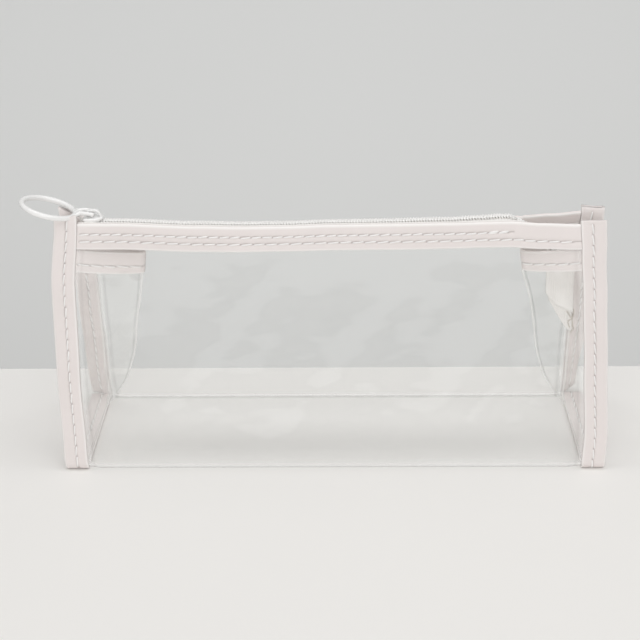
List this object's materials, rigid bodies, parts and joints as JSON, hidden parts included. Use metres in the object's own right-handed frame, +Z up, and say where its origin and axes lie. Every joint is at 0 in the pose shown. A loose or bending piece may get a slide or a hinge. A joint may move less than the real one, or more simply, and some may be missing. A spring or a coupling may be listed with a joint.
{
  "type": "clear zippered cosmetics pouch",
  "caption": "Clear film pouch with inward folded ends, stitched bindings, a coil zipper along the top and a slider with a ring pull.",
  "frame": {"origin": "middle of the base, on the surface that the pouch stands on", "axes": "+X along the zipper towards its open end, +Y to the back, +Z up"},
  "size_m": [0.2317, 0.0614, 0.1061],
  "materials": {
    "clear_film": "clear glossy soft film with faint wrinkles",
    "binding": "soft satin coated strip, warm white",
    "thread": "white sewing thread",
    "tape": "woven off-white zipper tape",
    "coil": "semi-gloss nylon coil",
    "paint": "white glossy coated zinc"
  },
  "bodies": {
    "pouch_base": {"bottom_panel": "clear_film", "left_bottom_binding": "binding", "right_bottom_binding": "binding", "bottom_stitching": "thread", "left_gusset": "clear_film", "right_gusset": "clear_film", "left_gusset_binding": "binding", "right_gusset_binding": "binding", "gusset_stitching": "thread", "zipper_tail": "tape"},
    "front_side": {"front_panel": "clear_film", "front_top_strip": "binding", "front_left_corner_binding": "binding", "front_right_corner_binding": "binding", "front_corner_stitching": "thread", "front_strip_stitching": "thread", "front_zipper_tape": "tape", "front_coil": "coil"},
    "back_side": {"back_panel": "clear_film", "back_top_strip": "binding", "back_left_corner_binding": "binding", "back_right_corner_binding": "binding", "back_corner_stitching": "thread", "back_strip_stitching": "thread", "back_zipper_tape": "tape", "back_coil": "coil"},
    "slider": {"slider_body": "paint"},
    "pull": {"pull_ring": "paint"}
  },
  "joints": [
    {"name": "zip_slide", "type": "slide", "parent": "pouch_base", "child": "slider", "axis": [1, 0, 0], "range_m": [0, 0.161]},
    {"name": "front_open", "type": "hinge", "parent": "pouch_base", "child": "front_side", "pos_m": [0, -0.03, 0.0002], "axis": [1, 0, 0], "range_deg": [0, 6.5], "deforming": ["front_zipper_tape", "front_coil"]},
    {"name": "back_open", "type": "hinge", "parent": "pouch_base", "child": "back_side", "pos_m": [0, 0.03, 0.0002], "axis": [-1, 0, 0], "range_deg": [0, 6.5], "deforming": ["back_zipper_tape", "back_coil"]},
    {"name": "pull_swing", "type": "hinge", "parent": "slider", "child": "pull", "pos_m": [-0.0943, 0, 0.10017], "axis": [0, 1, 0], "range_deg": [0, 160]}
  ],
  "couplings": [
    {"joint": "front_open", "follows": "zip_slide", "rad_per_m": 0.7},
    {"joint": "back_open", "follows": "zip_slide", "rad_per_m": 0.7}
  ]
}
